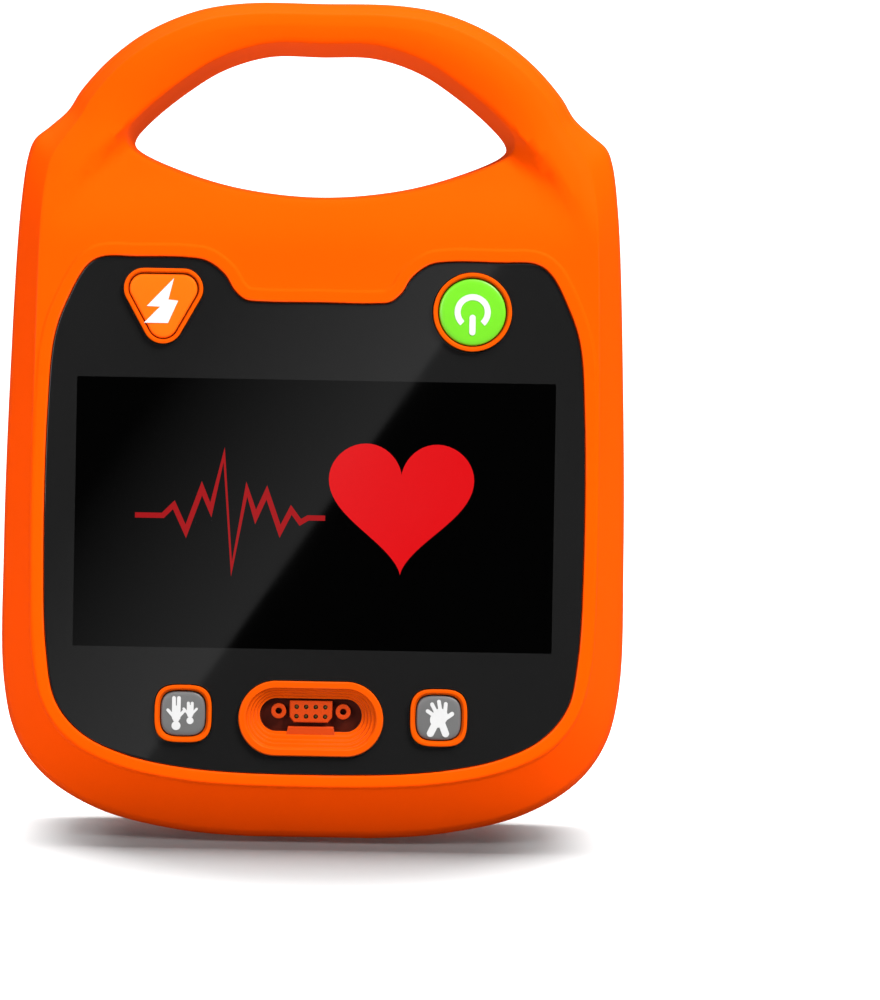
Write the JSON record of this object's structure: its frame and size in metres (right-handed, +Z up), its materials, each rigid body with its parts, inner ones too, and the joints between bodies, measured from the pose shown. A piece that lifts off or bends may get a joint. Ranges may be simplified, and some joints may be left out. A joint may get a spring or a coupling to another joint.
{
  "type": "defibrillator",
  "caption": "Upright portable defibrillator: orange clamshell case with an arched carrying handle, black screen panel, push buttons, pad socket and a slide-out battery.",
  "frame": {"origin": "bottom centre of the part's bounding box: the middle of the flat that it stands on", "axes": "+X to the right as seen by the user, +Y towards the back, +Z up; the screen and buttons face -Y"},
  "size_m": [0.207, 0.08, 0.2778],
  "materials": {
    "case_orange": "satin fine-textured moulded plastic",
    "ring_orange": "smooth darker orange moulded plastic",
    "window_black": "polished black-printed clear window",
    "screen_glass": "near-black flat screen",
    "seal_grey": "soft foam and rubber seal",
    "key_green": "smooth bright green plastic",
    "key_grey": "satin grey plastic",
    "silicone": "translucent silicone",
    "board_green": "solder-masked circuit board",
    "steel": "plain zinc-plated steel",
    "contact_gold": "gold-plated contact metal",
    "dark_plastic": "satin black plastic",
    "capacitor_blue": "shrink-sleeved can",
    "ferrite": "sintered core with a wound coil",
    "film_amber": "amber flexible film",
    "foot_rubber": "matt black rubber"
  },
  "bodies": {
    "root": {"front_case": "case_orange", "rear_case": "case_orange", "case_seal": "seal_grey", "window_panel": "window_black", "window_seal": "seal_grey", "display_module": "screen_glass", "display_bracket": "steel", "display_ribbon": "film_amber", "connector_bezel": "ring_orange", "connector_socket": "ring_orange", "connector_contacts": "contact_gold", "button_board": "board_green", "socket_board": "board_green", "main_board": "board_green", "power_board": "board_green", "energy_capacitor": "capacitor_blue", "capacitor_strap": "steel", "charging_transformer": "ferrite", "discharge_relay": "dark_plastic", "battery_terminals": "contact_gold", "speaker": "dark_plastic", "bracket_screw_1": "steel", "bracket_screw_2": "steel", "bracket_screw_3": "steel", "bracket_screw_4": "steel", "case_screw_1": "steel", "case_screw_2": "steel", "case_screw_3": "steel", "case_screw_4": "steel", "case_screw_5": "steel", "case_screw_6": "steel", "rear_foot_1": "foot_rubber", "rear_foot_2": "foot_rubber", "rear_foot_3": "foot_rubber", "rear_foot_4": "foot_rubber", "shock_bezel": "ring_orange", "shock_switch": "steel", "shock_dome": "silicone", "power_bezel": "ring_orange", "power_switch": "steel", "power_dome": "silicone", "patient_bezel": "ring_orange", "patient_switch": "steel", "patient_dome": "silicone", "cpr_bezel": "ring_orange", "cpr_switch": "steel", "cpr_dome": "silicone"},
    "shock_key": {"shock_button": "ring_orange"},
    "power_key": {"power_button": "key_green"},
    "patient_key": {"patient_button": "key_grey"},
    "cpr_key": {"cpr_button": "key_grey"},
    "battery": {"battery_pack": "case_orange"},
    "latch": {"battery_latch": "dark_plastic", "latch_spring": "steel"}
  },
  "joints": [
    {"name": "shock_press", "type": "slide", "parent": "root", "child": "shock_key", "axis": [0, 1, 0], "range_m": [0, 0.0012], "stiffness_N_per_m": 1500, "springref_m": -0.001, "deforming": ["shock_dome"]},
    {"name": "power_press", "type": "slide", "parent": "root", "child": "power_key", "axis": [0, 1, 0], "range_m": [0, 0.0012], "stiffness_N_per_m": 1500, "springref_m": -0.001, "deforming": ["power_dome"]},
    {"name": "patient_press", "type": "slide", "parent": "root", "child": "patient_key", "axis": [0, 1, 0], "range_m": [0, 0.0012], "stiffness_N_per_m": 1500, "springref_m": -0.001, "deforming": ["patient_dome"]},
    {"name": "cpr_press", "type": "slide", "parent": "root", "child": "cpr_key", "axis": [0, 1, 0], "range_m": [0, 0.0012], "stiffness_N_per_m": 1500, "springref_m": -0.001, "deforming": ["cpr_dome"]},
    {"name": "battery_slide", "type": "slide", "parent": "root", "child": "battery", "axis": [0, 1, 0], "range_m": [0, 0.05]},
    {"name": "latch_press", "type": "slide", "parent": "battery", "child": "latch", "axis": [0, 0, -1], "range_m": [0, 0.003], "stiffness_N_per_m": 900, "springref_m": -0.002, "deforming": ["latch_spring"]}
  ]
}
